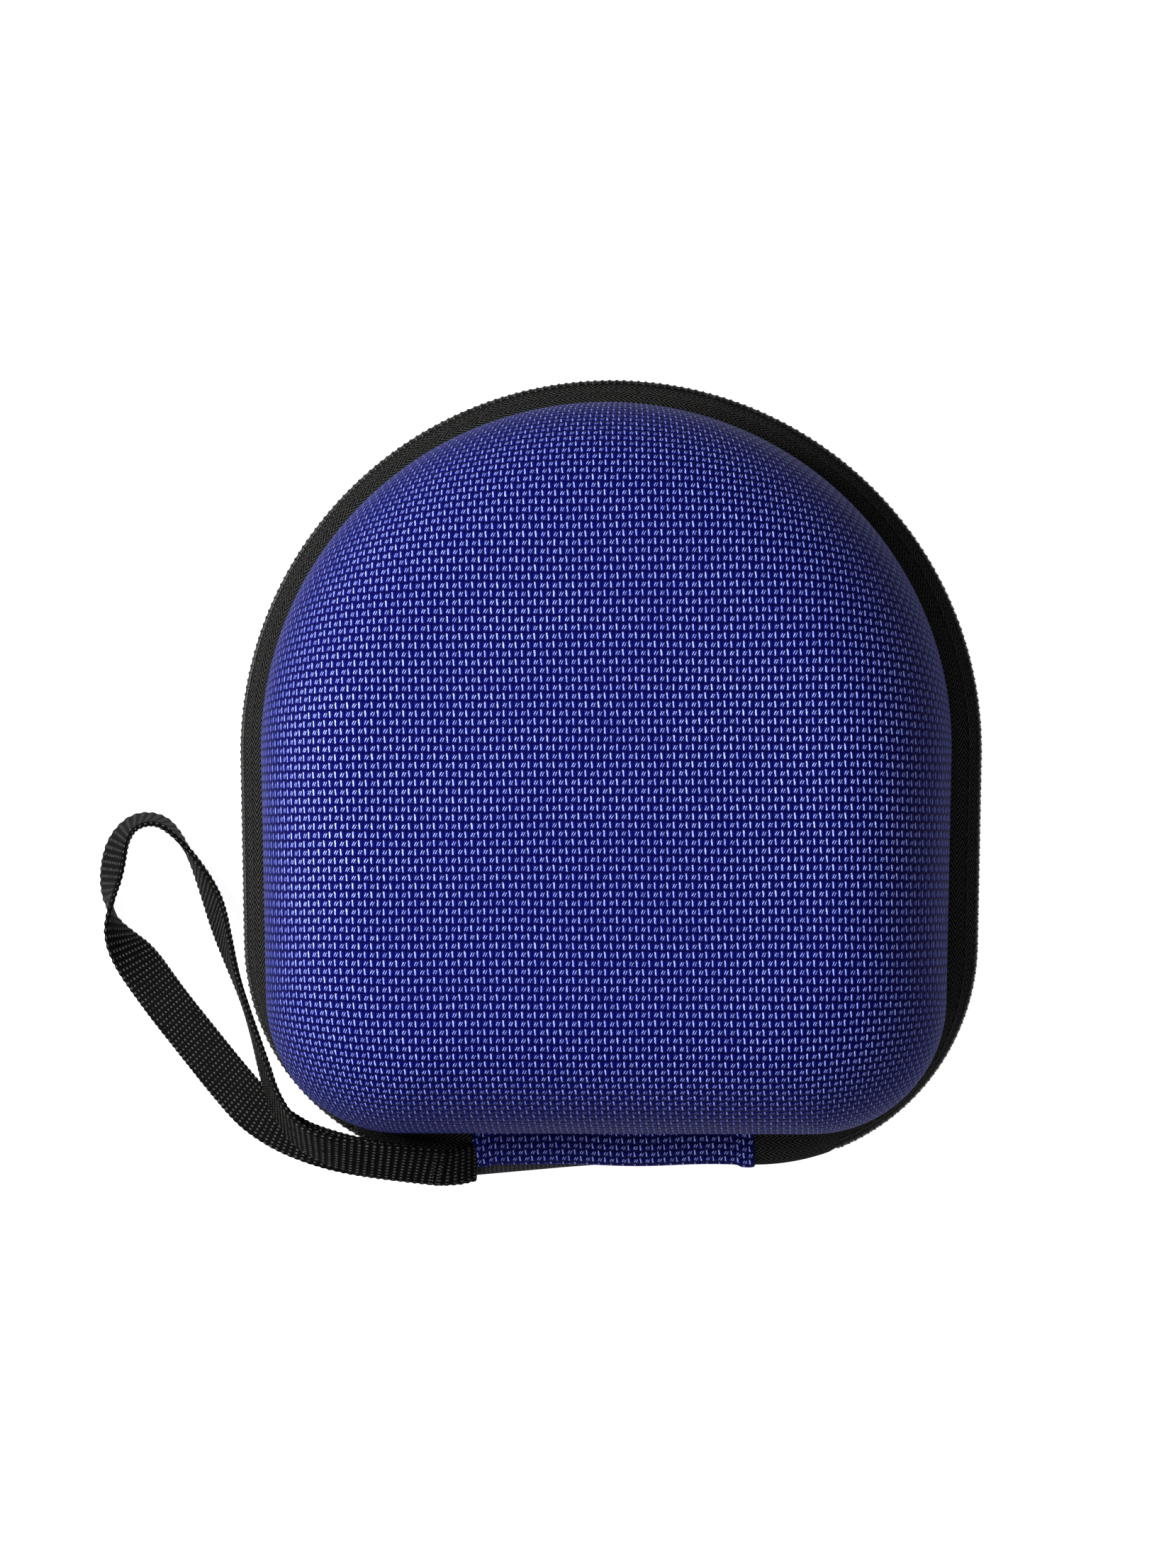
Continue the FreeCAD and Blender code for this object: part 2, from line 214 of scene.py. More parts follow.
# How far the webbing is turned about its length, in degrees, against the share of its length
STRAP_ROLL = [
    (0.0, 28.0), (0.05, 24.0), (0.1, 12.0), (0.2, 0.0), (0.32, 0.0), (0.385, -12.0), (0.405, -62.0),
    (0.42, -92.0), (0.45, -136.0), (0.485, -132.0), (0.515, -104.0), (0.56, -88.0), (0.6, -57.0),
    (0.65, -56.0), (0.69, -76.0), (0.74, -79.0), (0.8, -68.0), (0.87, -60.0), (0.9, -50.0), (0.94, -30.0),
    (1.0, -26.0),
]


# ---------------------------------------------------------------- meshes


def piece(name, mesh, material, body, *nodes):
    """A new piece that rides on a body and stands for CAD nodes."""
    obj = bpy.data.objects.new(name, mesh)
    bpy.context.scene.collection.objects.link(obj)
    obj.data.materials.append(material)
    obj.data.shade_smooth()
    if body:
        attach(obj, body)
    if nodes:
        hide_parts(*nodes)
    return obj


def grid_mesh(name, points, uv, wrap_rows=False, wrap_columns=False, caps=False):
    """A mesh from a grid of points. uv has one more row or column where the grid wraps."""
    rows, columns = points.shape[:2]
    row = np.arange(rows - 1 + wrap_rows)
    column = np.arange(columns - 1 + wrap_columns)
    r, c = (a.ravel() for a in np.meshgrid(row, column, indexing="ij"))
    corners = [(r, c), (r, c + 1), (r + 1, c + 1), (r + 1, c)]
    faces = np.stack([(a % rows) * columns + b % columns for a, b in corners], axis=1)
    loops_uv = np.stack([uv[a, b] for a, b in corners], axis=1).reshape(-1, 2)
    face_list = faces.tolist()
    if caps:
        first = list(reversed(range(columns)))
        last = [(rows - 1) * columns + k for k in range(columns)]
        face_list += [first, last]
        ends = np.concatenate([uv[0, :columns][::-1], uv[-1, :columns]])
        loops_uv = np.concatenate([loops_uv, ends])
    mesh = bpy.data.meshes.new(name)
    mesh.from_pydata(points.reshape(-1, 3).tolist(), [], face_list)
    layer = mesh.uv_layers.new(name="Cloth")
    layer.data.foreach_set("uv", loops_uv.astype(np.float32).ravel())
    mesh.update()
    turn_out(mesh)
    return mesh


def turn_out(mesh):
    """Makes the normals of a closed mesh point outwards."""
    work = bmesh.new()
    work.from_mesh(mesh)
    if work.calc_volume(signed=True) < 0:
        bmesh.ops.reverse_faces(work, faces=work.faces[:])
    work.to_mesh(mesh)
    work.free()


def lengths(points):
    """The distance along a line of points to each of them."""
    steps = np.linalg.norm(np.diff(points, axis=0), axis=1)
    return np.concatenate([[0.0], np.cumsum(steps)])


# ---------------------------------------------------------------- outlines


OUTLINE_END = 7.0
LEFT_CORNER_Q = 5.0


def outline(shape, q):
    """Points and outward normals on an outline. q runs from 0 to 7, anticlockwise from the middle of
    the hinge end, and each of its stretches between whole numbers is one line or arc."""
    arch_r, arch_y, corner_r, bottom_y = shape
    q = np.asarray(q, float)
    near = np.minimum(q, OUTLINE_END - q)
    share = near - np.floor(near)
    corner_y = bottom_y + corner_r
    corner_x = (arch_r - corner_r - math.sin(TAPER) * (arch_y - corner_y)) / math.cos(TAPER)
    corner = -math.pi / 2 + share * (math.pi / 2 - TAPER)
    arch = -TAPER + share * (math.pi + 2 * TAPER)
    side_n = np.array([math.cos(TAPER), -math.sin(TAPER)])
    low = np.array([corner_x, corner_y]) + side_n * corner_r
    high = np.array([0.0, arch_y]) + side_n * arch_r
    ones = np.ones_like(share)
    pieces = [
        (share * corner_x, bottom_y * ones, 0 * ones, -ones),
        (
            corner_x + corner_r * np.cos(corner),
            corner_y + corner_r * np.sin(corner),
            np.cos(corner),
            np.sin(corner),
        ),
        (
            low[0] + share * (high[0] - low[0]),
            low[1] + share * (high[1] - low[1]),
            side_n[0] * ones,
            side_n[1] * ones,
        ),
        (arch_r * np.cos(arch), arch_y + arch_r * np.sin(arch), np.cos(arch), np.sin(arch)),
    ]
    stretch = np.minimum(near.astype(int), 3)
    x, y, nx, ny = (np.choose(stretch, [p[k] for p in pieces]) for k in range(4))
    mirror = np.where(q > OUTLINE_END / 2, -1.0, 1.0)
    return np.stack([x * mirror, y], -1), np.stack([nx * mirror, ny], -1)


def ridge_shape(inset):
    """The ridge's outline, inset from its outermost line."""
    return RIDGE_ARCH_R - inset, ARCH_Y, RIDGE_CORNER_R - inset, RIDGE_BOTTOM + inset


def dome_shape(inset):
    """The dome's outline, inset from its widest line."""
    return (
        DOME_ARCH_R - inset,
        ARCH_Y - ARCH_LEAN * inset,
        DOME_CORNER_R - CORNER_SHRINK * inset,
        DOME_BOTTOM + inset,
    )


def line_at(shape, q, h, side):
    """The outline as 3-D points, h from the parting plane, above it for side 1 and below for -1."""
    flat = outline(shape, q)[0]
    return np.column_stack([flat, np.full(len(flat), MID_Z + side * h)])


TRACK_Q = np.linspace(0.0, OUTLINE_END, 4001)
TRACK_S = lengths(outline(ridge_shape(0.0), TRACK_Q)[0])
TRACK_LENGTH = TRACK_S[-1]
TAPE_TUCK = 3.0 * MM
TRACK_START = STRIP_HIGH[0] - TAPE_TUCK
TRACK_END = TRACK_LENGTH - STRIP_HIGH[0] + TAPE_TUCK
COIL_START = 47.0 * MM


def track_q(s):
    """The outline's q at a distance s along the ridge."""
    return np.interp(s, TRACK_S, TRACK_Q)


def track_at_x(x):
    """The distance along the ridge to the point of its left corner with this X."""
    corner = TRACK_Q > LEFT_CORNER_Q
    xs = outline(ridge_shape(0.0), TRACK_Q[corner])[0][:, 0]
    return float(np.interp(x, xs, TRACK_S[corner]))


COIL_END = track_at_x(CHAIN_HIGH[0])


# ---------------------------------------------------------------- the domes


def dome_profile(depth):
    """(inset, height) pairs from the rim to the face's edge, depth below the outside of the dome."""
    rim = [(1.5, 0.0), (1.02, 0.16), (0.74, 0.55), (0.44, 1.2), (0.2, 2.0), (0.05, 3.4)]
    pairs = [(depth + a * MM, RIM_H + b * MM) for a, b in rim]
    rise = HALF_DEPTH - WIDEST_H - depth
    steps = 36
    for k in range(steps + 1):
        angle = math.pi / 2 * k / steps
        up = math.sin(angle) ** (2 / SHOULDER_POWER)
        inwards = 1 - max(math.cos(angle), 0.0) ** (2 / SHOULDER_POWER)
        pairs.append((depth + (SHOULDER - depth) * inwards, WIDEST_H + rise * up))
    return pairs


def dome_surface(depth, q, side, crown):
    """Rings of points from the rim to the middle of the face, and where each lies on the flat cloth."""
    profile = dome_profile(depth)
    rings = [line_at(dome_shape(inset), q, h, side) for inset, h in profile]
    edge = outline(dome_shape(SHOULDER), q)[0]
    drop = lengths(np.array(profile))
    cloth = []
    for (inset, _), d in zip(profile, drop):
        flat, normal = outline(dome_shape(inset), q)
        cloth.append(flat + normal * (drop[-1] - d - (SHOULDER - inset)))
    middle = np.array([0.0, float(edge[:, 1].mean())])
    face_steps = 14
    for k in range(1, face_steps + 1):
        share = 1 - k / face_steps
        share = max(share, 0.01)
        flat = middle + (edge - middle) * share
        lift = crown * (1 - share**2) ** 2
        z = np.full(len(flat), MID_Z + side * (HALF_DEPTH - depth + lift))
        rings.append(np.column_stack([flat, z]))
        cloth.append(flat)
    return np.array(rings), np.array(cloth)


def dome_piece(name, side, depths, crown, material, body, node):
    """A closed layer of a shell between two depths below its outside."""
    q = track_q(np.linspace(0, TRACK_LENGTH, 361)[:-1])
    outer, outer_uv = dome_surface(depths[0], q, side, crown)
    inner, inner_uv = dome_surface(depths[1], q, side, crown)
    points = np.concatenate([outer[::-1], inner])
    uv = np.concatenate([outer_uv[::-1], inner_uv])
    uv = np.concatenate([uv, uv[:, :1]], axis=1)
    mesh = grid_mesh(name, points, uv, wrap_columns=True, caps=True)
    return piece(name, mesh, material, body, node)


# ---------------------------------------------------------------- bands round the zip


def band_piece(name, rings, s, material, closed, body, *nodes):
    """A closed band: rings are the corners of its section, each a line of points along the zip."""
    points = np.stack(rings, axis=1)
    across = lengths(np.concatenate([points[len(s) // 2], points[len(s) // 2][:1]]))
    along = np.append(s, s[-1] + s[1] - s[0]) if closed else s
    uv = np.stack(np.meshgrid(along, across, indexing="ij"), axis=-1)
    mesh = grid_mesh(name, points, uv, wrap_rows=closed, wrap_columns=True, caps=not closed)
    return piece(name, mesh, material, body, *nodes)


def nearest_q(shape, points):
    """The q of the places on an outline that lie nearest to some points."""
    q = np.linspace(0.0, OUTLINE_END, 1401)
    line = outline(shape, q)[0]
    far = ((points[:, None] - line[None]) ** 2).sum(-1)
    best = np.clip(far.argmin(axis=1), 1, len(q) - 2)
    row = np.arange(len(points))
    before, here, after = far[row, best - 1], far[row, best], far[row, best + 1]
    shift = np.clip(0.5 * (before - after) / (before - 2 * here + after), -1, 1)
    return q[best] + shift * (q[1] - q[0])


def bare_end(s):
    """1 beside the hinge, where the tape covers the ridge and holds no coil, and 0 elsewhere."""
    in_from_end = np.minimum(s - COIL_START, COIL_END - s) / TAPE_TURN
    return np.clip(0.5 - in_from_end, 0.0, 1.0)


def tape_rings(s, side):
    """The zip tape's section: its outer face from the coil to the rim, and its inner face back."""
    q = track_q(s)
    normal = outline(ridge_shape(0.0), q)[1]
    bare = bare_end(s)[:, None]
    rings = []
    for depth in (0.0, TAPE_T):
        by_coil = line_at(ridge_shape(TAPE_INSET + depth), q, TAPE_LOW_H, side)
        by_hinge = line_at(ridge_shape(TAPE_END_INSET + depth), q, TAPE_END_H, side)
        low = by_coil + (by_hinge - by_coil) * bare
        rim = dome_shape(TAPE_RIM_INSET + depth)
        high = line_at(rim, nearest_q(rim, low[:, :2]), RIM_H, side)
        face = []
        for share in np.linspace(0, 1, 9):
            bulge = TAPE_BULGE * math.sin(math.pi * share)
            point = low + (high - low) * share
            point[:, :2] += normal * bulge * 0.6
            point[:, 2] += side * bulge * 0.8
            face.append(point)
        rings.append(face)
    return rings[0] + rings[1][::-1]


def make_tape(name, start, end, side, body, *nodes):
    """A stretch of one side's zip tape."""
    s = np.linspace(start, end, max(8, round((end - start) / (1.2 * MM))))
    return band_piece(name, tape_rings(s, side), s, TAPE, False, body, *nodes)


def make_binding(name, side, body, node):
    """The rolled bias binding inside the rim."""
    s = np.linspace(0, TRACK_LENGTH, 361)[:-1]
    q = track_q(s)
    section = [
        (2.3, 5.6), (2.5, 5.15), (3.1, 4.95), (4.4, 4.95), (5.3, 5.05), (5.8, 5.5), (5.95, 6.4), (5.9, 9.3),
        (5.7, 9.9), (5.2, 10.0), (4.6, 9.6), (4.9, 7.5), (4.9, 6.05), (2.4, 6.0),
    ]
    rings = [line_at(dome_shape(inset * MM), q, h * MM, side) for inset, h in section]
    return band_piece(name, rings, s, BINDING, True, body, node)


def coil_mesh(name, start, end, side, phase):
    """One half of the nylon coil: a flattened spiral of round monofilament."""
    turns = (end - start) / COIL_PITCH
    steps = int(turns * 10)
    s = np.linspace(start, end, steps)
    angle = 2 * math.pi * (s / COIL_PITCH + phase)
    q = track_q(s)
    flat, normal = outline(ridge_shape(COIL_INSET), q)
    centre = np.column_stack([flat, np.full(steps, MID_Z + side * COIL_H)])
    out = np.column_stack([normal, np.zeros(steps)])
    up = np.tile([0.0, 0.0, float(side)], (steps, 1))
    wave = np.column_stack([np.cos(angle), np.sin(angle)])
    line = centre + out * (wave[:, :1] * COIL_R_ACROSS) + up * (wave[:, 1:] * COIL_R_UP)
    return tube_mesh(name, line, FILAMENT_R, 6)


def tube_mesh(name, line, radius, sides):
    """A round tube along a line of points."""
    tangent = np.gradient(line, axis=0)
    tangent /= np.linalg.norm(tangent, axis=1)[:, None]
    helper = np.tile([0.0, 0.0, 1.0], (len(line), 1))
    helper[np.abs(tangent[:, 2]) > 0.9] = (1.0, 0.0, 0.0)
    across = np.cross(tangent, helper)
    across /= np.linalg.norm(across, axis=1)[:, None]
    for k in range(1, len(line)):
        turned = across[k - 1] - tangent[k] * (across[k - 1] @ tangent[k])
        across[k] = turned / np.linalg.norm(turned)
    above = np.cross(tangent, across)
    angles = 2 * math.pi * np.arange(sides) / sides
    radius = np.broadcast_to(radius, (len(line),))[:, None, None]
    points = line[:, None] + radius * (
        across[:, None] * np.cos(angles)[None, :, None] + above[:, None] * np.sin(angles)[None, :, None]
    )
    uv = np.stack(
        np.meshgrid(lengths(line), np.arange(sides + 1) / sides * MM, indexing="ij"), axis=-1
    )
    return grid_mesh(name, points, uv, wrap_columns=True, caps=True)


def join_meshes(name, meshes):
    """Several meshes as one."""
    work = bmesh.new()
    for mesh in meshes:
        work.from_mesh(mesh)
    joined = bpy.data.meshes.new(name)
    work.to_mesh(joined)
    work.free()
    for mesh in meshes:
        bpy.data.meshes.remove(mesh)
    return joined


def make_coil(name, start, end, side, phase, body, *nodes):
    """One half of the coil with the filler cord that it is wound on."""
    s = np.linspace(start, end, max(8, round((end - start) / (1.5 * MM))))
    cord = line_at(ridge_shape(COIL_INSET), track_q(s), COIL_H, side)
    spiral = coil_mesh(name + "_spiral", start, end, side, phase)
    filler = tube_mesh(name + "_cord", cord, COIL_CORD_R, 12)
    return piece(name, join_meshes(name, [spiral, filler]), COIL, body, *nodes)


def stitch_row(name, line, stitch, gap, radius, body):
    """A row of thread stitches along a line of points, as short rounded tubes sunk in the cloth."""
    far = lengths(line)
    meshes = []
    start = gap
    while start + stitch < far[-1]:
        s = start + stitch * np.array([0.0, 0.06, 0.2, 0.5, 0.8, 0.94, 1.0])
        run = np.column_stack([np.interp(s, far, line[:, k]) for k in range(3)])
        swell = radius * np.array([0.3, 0.75, 1.0, 1.0, 1.0, 0.75, 0.3])
        meshes.append(tube_mesh("stitch", run, swell, 6))
        start += stitch + gap
    return piece(name, join_meshes(name, meshes), THREAD, body)


# ---------------------------------------------------------------- the hinge


def strip_profile(depth, bulge):
    """The hinge strip's outer line in Y and height, from the base's rim round the ridge to the lid's."""
    edge = np.array([DOME_BOTTOM + STRIP_EDGE_INSET + depth, RIM_H - STRIP_EDGE_DROP])
    bend = np.array([RIDGE_BOTTOM + STRIP_BEND_BACK + depth, STRIP_BEND_H])
    whole_turn = math.radians(STRIP_BEND_DEG)
    line = []
    for share in np.linspace(0, 1, 10):
        point = edge + (bend - edge) * share
        puff = bulge * math.sin(math.pi * share)
        line.append((point[0] - puff * 0.7, point[1] + puff * 0.7))
    for angle in np.linspace(STRIP_BEND_DEG, 0, 6)[1:]:
        turn = math.radians(angle)
        tip = RIDGE_BOTTOM + depth + STRIP_BEND_BACK * (1 - math.cos(turn)) / (1 - math.cos(whole_turn))
        line.append((tip, STRIP_BEND_H * math.sin(turn) / math.sin(whole_turn)))
    lower = [(y, -h) for y, h in reversed(line[:-1])]
    return np.array(line + lower)[::-1]


def strip_piece(name, node, material, left, right, depths, bulge, fold=0.0, wave=0.0, shade_lip=0.0):
    """A strip of cloth bent round the ridge, thicker where its ends are folded under. Given a reach, its
    edge hangs out below the ridge at its left end, less and less towards the right, as painted shade under
    the strip's fold."""
    end = 4 * MM
    x = np.concatenate([
        np.linspace(left, left + end, 13)[:-1],
        np.linspace(left + end, right - end, 60),
        np.linspace(right - end, right, 13)[1:],
    ])
    rings = []
    for position in x:
        from_end = min(position - left, right - position) / MM
        folded = 1 / (1 + math.exp((from_end - 3.2) * 4)) - 0.6 * math.exp(-from_end * 3)
        ripple = wave * math.sin(position / MM * 0.19 + 0.6) * math.sin(position / MM * 0.043 + 1.1)
        outer = strip_profile(depths[0] - fold * folded - ripple, bulge)
        inner = strip_profile(depths[1], bulge)
        section = np.concatenate([outer, inner[::-1]])
        share = max(0.0, 1 - (position - left) / (0.8 * (right - left)))
        # The edge that hangs out below the ridge is painted shade under the strip's fold
        section[:, 0] -= shade_lip * share * np.exp(-(((section[:, 1] + SHADE_LIP_DROP) / SHADE_LIP_SPREAD) ** 2))
        x_line = np.full(len(section), position)
        rings.append(np.column_stack([x_line, section[:, 0], MID_Z + section[:, 1]]))
    points = np.array(rings)
    across = lengths(np.concatenate([points[0], points[0][:1]]))
    uv = np.stack(np.meshgrid(x, across, indexing="ij"), axis=-1)
    mesh = grid_mesh(name, points, uv, wrap_columns=True, caps=True)
    obj = piece(name, mesh, material, None, node)
    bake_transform(obj)
    return obj


# ---------------------------------------------------------------- the strap


def spline_points(route):
    """Evenly spaced points on the smooth NURBS line through a route."""
    curve = bpy.data.curves.new("strap_route", "CURVE")
    curve.dimensions = "3D"
    spline = curve.splines.new("NURBS")
    spline.points.add(len(route) - 1)
    for point, place in zip(spline.points, route):
        point.co = (*place, 1.0)
    spline.order_u = 3
    spline.use_endpoint_u = True
    spline.resolution_u = 12
    holder = bpy.data.objects.new("strap_route", curve)
    bpy.context.scene.collection.objects.link(holder)
    mesh = bpy.data.meshes.new_from_object(holder)
    line = np.array([v.co[:] for v in mesh.vertices])
    bpy.data.objects.remove(holder)
    bpy.data.curves.remove(curve)
    bpy.data.meshes.remove(mesh)
    return line


def resampled(line, step):
    """A line cut into even steps: the distance along it to each point, and the points."""
    far = lengths(line)
    s = np.linspace(0, far[-1], round(far[-1] / step) + 1)
    return s, np.column_stack([np.interp(s, far, line[:, k]) for k in range(3)])


def webbing_section(half_w, half_t):
    """A woven strap's section, as (across, up) pairs, with round selvedges."""
    across = np.linspace(-1, 1, 11) * (half_w - half_t)
    top = [(a, half_t) for a in across]
    turn = np.radians([60, 30, 0, -30, -60])
    right = [(half_w - half_t + half_t * math.cos(a), half_t * math.sin(a)) for a in turn]
    bottom = [(a, -half_t) for a in across[::-1]]
    left = [(-a, b) for a, b in reversed(right)]
    return np.array(top + right + bottom + left)


def webbing_mesh(name, line, roll, widths, thick):
    """Ribbed webbing along a line. Its turn in radians and its width go by the share of its length."""
    s, line = resampled(line, RIB_PITCH / 6)
    tangent = np.gradient(line, axis=0)
    tangent /= np.linalg.norm(tangent, axis=1)[:, None]
    flat = np.cross(tangent, [0.0, 0.0, 1.0])
    flat /= np.linalg.norm(flat, axis=1)[:, None]
    above = np.cross(flat, tangent)
    turn = np.interp(s / s[-1], *roll)[:, None]
    across = flat * np.cos(turn) + above * np.sin(turn)
    up = above * np.cos(turn) - flat * np.sin(turn)
    half_w = np.interp(s / s[-1], *widths)[:, None] / 2 + SELVEDGE
    section = webbing_section(half_w.max(), thick / 2)
    rib = np.cos(2 * math.pi * s / RIB_PITCH)[:, None]
    grow_up = 1 + 0.16 * rib
    grow_across = half_w / half_w.max() * (1 + 0.018 * rib)
    points = (
        line[:, None]
        + across[:, None] * (section[None, :, 0] * grow_across)[..., None]
        + up[:, None] * (section[None, :, 1] * grow_up)[..., None]
    )
    round_it = lengths(np.concatenate([section, section[:1]]))
    uv = np.stack(np.meshgrid(s, round_it, indexing="ij"), axis=-1)
    return grid_mesh(name, points, uv, wrap_columns=True, caps=True), line


def make_strap():
    """The wrist strap: one length of webbing from the hinge strip's end, round and back."""
    shares, degrees = zip(*STRAP_ROLL)
    smooth = np.linspace(0, 1, 101)
    turned = np.interp(smooth, shares, np.radians(degrees))
    turned = np.convolve(np.pad(turned, 3, "edge"), np.ones(7) / 7, "valid")
    line = spline_points(STRAP_ROUTE)
    mesh, path = webbing_mesh("wrist_strap", line, (smooth, turned), STRAP_WIDTHS, STRAP_T)
    strap = piece("wrist_webbing", mesh, WEBBING, "base", "wrist_strap")
    tack = make_tack()


def make_tack():
    """The strap's two ends, one on the other, running in under the hinge strip's folded end."""
    turned = ([0, 1], np.radians([-26.0, -30.0]))
    widths = ([0, 1], [STRAP_W - 0.2 * MM] * 2)
    parts = []
    for route in TACK_ROUTES:
        mesh, _ = webbing_mesh("layer", spline_points(route), turned, widths, STRAP_T)
        parts.append(mesh)
    tack = piece("strap_ends", join_meshes("strap_ends", parts), WEBBING, "base", "strap_tack")
    return tack


# ---------------------------------------------------------------- materials


class Surface:
    """A material's node tree, with short calls for the nodes that the materials here share."""

    def __init__(self, name):
        self.material = bpy.data.materials.new(name)
        self.material.use_nodes = True
        self.tree = self.material.node_tree
        self.shader = self.tree.nodes["Principled BSDF"]

    def node(self, kind, **settings):
        node = self.tree.nodes.new(kind)
        for key, value in settings.items():
            setattr(node, key, value)
        return node

    def feed(self, socket, value):
        if isinstance(value, bpy.types.NodeSocket):
            self.tree.links.new(value, socket)
        else:
            socket.default_value = value

    def math(self, operation, *values):
        node = self.node("ShaderNodeMath", operation=operation)
        for socket, value in zip(node.inputs, values):
            self.feed(socket, value)
        return node.outputs[0]

    def clamp(self, value, low, high):
        """0 at low, 1 at high, smooth between."""
        node = self.node("ShaderNodeMapRange", interpolation_type="SMOOTHSTEP")
        for socket, number in zip(node.inputs, (value, low, high, 0.0, 1.0)):
            self.feed(socket, number)
        return node.outputs[0]

    def mix(self, share, a, b):
        node = self.node("ShaderNodeMix", data_type="RGBA")
        for socket, value in zip((node.inputs[0], node.inputs[6], node.inputs[7]), (share, a, b)):
            self.feed(socket, value)
        return node.outputs[2]

    def blend(self, share, a, b):
        node = self.node("ShaderNodeMix", data_type="FLOAT")
        for socket, value in zip((node.inputs[0], node.inputs[2], node.inputs[3]), (share, a, b)):
            self.feed(socket, value)
        return node.outputs[0]

    def cloth(self, unit_x, unit_y):
        """The cloth's own coordinates, in units of the given lengths."""
        split = self.node("ShaderNodeSeparateXYZ")
        self.feed(split.inputs[0], self.node("ShaderNodeUVMap", uv_map="Cloth").outputs[0])
        return self.math("DIVIDE", split.outputs[0], unit_x), self.math("DIVIDE", split.outputs[1], unit_y)

    def place(self):
        return self.node("ShaderNodeTexCoord").outputs["Object"]

    def facing_up(self):
        """How far the cloth faces up: 1 on the flat top, 0 on an upright wall."""
        split = self.node("ShaderNodeSeparateXYZ")
        self.feed(split.inputs[0], self.node("ShaderNodeTexCoord").outputs["Normal"])
        return split.outputs[2]

    def noise(self, scale, detail=3.0, vector=None, stretch=None):
        node = self.node("ShaderNodeTexNoise")
        node.inputs["Scale"].default_value = scale
        node.inputs["Detail"].default_value = detail
        where = vector or self.place()
        if stretch:
            mapping = self.node("ShaderNodeMapping")
            self.feed(mapping.inputs[0], where)
            mapping.inputs["Scale"].default_value = stretch
            where = mapping.outputs[0]
        self.feed(node.inputs["Vector"], where)
        return node.outputs["Fac"]

    def finish(self, colour, roughness, height=None, distance=0.1 * MM, **fixed):
        self.feed(self.shader.inputs["Base Color"], colour)
        self.feed(self.shader.inputs["Roughness"], roughness)
        for key, value in fixed.items():
            self.shader.inputs[key.replace("_", " ")].default_value = value
        if height is not None:
            bump = self.node("ShaderNodeBump")
            bump.inputs["Distance"].default_value = distance
            self.feed(bump.inputs["Height"], height)
            self.feed(self.shader.inputs["Normal"], bump.outputs[0])
        return self.material


def centred(surface, value):
    """The place within a cell, from -0.5 to 0.5."""
    return surface.math("SUBTRACT", surface.math("FRACT", value), 0.5)


def round_yarn(surface, across, along):
    """A yarn's height in its cell: round across it, and arched where it passes over the other yarn."""
    square = surface.math("MULTIPLY", surface.math("MULTIPLY", across, across), 3.8)
    crown = surface.math("SQRT", surface.math("MAXIMUM", surface.math("SUBTRACT", 1.0, square), 0.0))
    arch = surface.math("COSINE", surface.math("MULTIPLY", along, math.pi * 0.86))
    return surface.math("MULTIPLY", crown, arch)


def glint_streaks(surface, across, along, count, lean, width):
    """Painted glints of light on a yarn's filaments: thin streaks side by side, leaning as they go up."""
    slid = surface.math("SUBTRACT", across, surface.math("MULTIPLY", along, lean))
    wave = surface.math("ABSOLUTE", centred(surface, surface.math("MULTIPLY", slid, count)))
    return surface.math("SUBTRACT", 1.0, surface.clamp(wave, width, width + 0.2))


def within(surface, value, middle, half, soft):
    """1 where a value is within half of the middle, and 0 further than soft outside that."""
    far = surface.math("ABSOLUTE", surface.math("SUBTRACT", value, middle))
    return surface.math("SUBTRACT", 1.0, surface.clamp(far, half, half + soft))


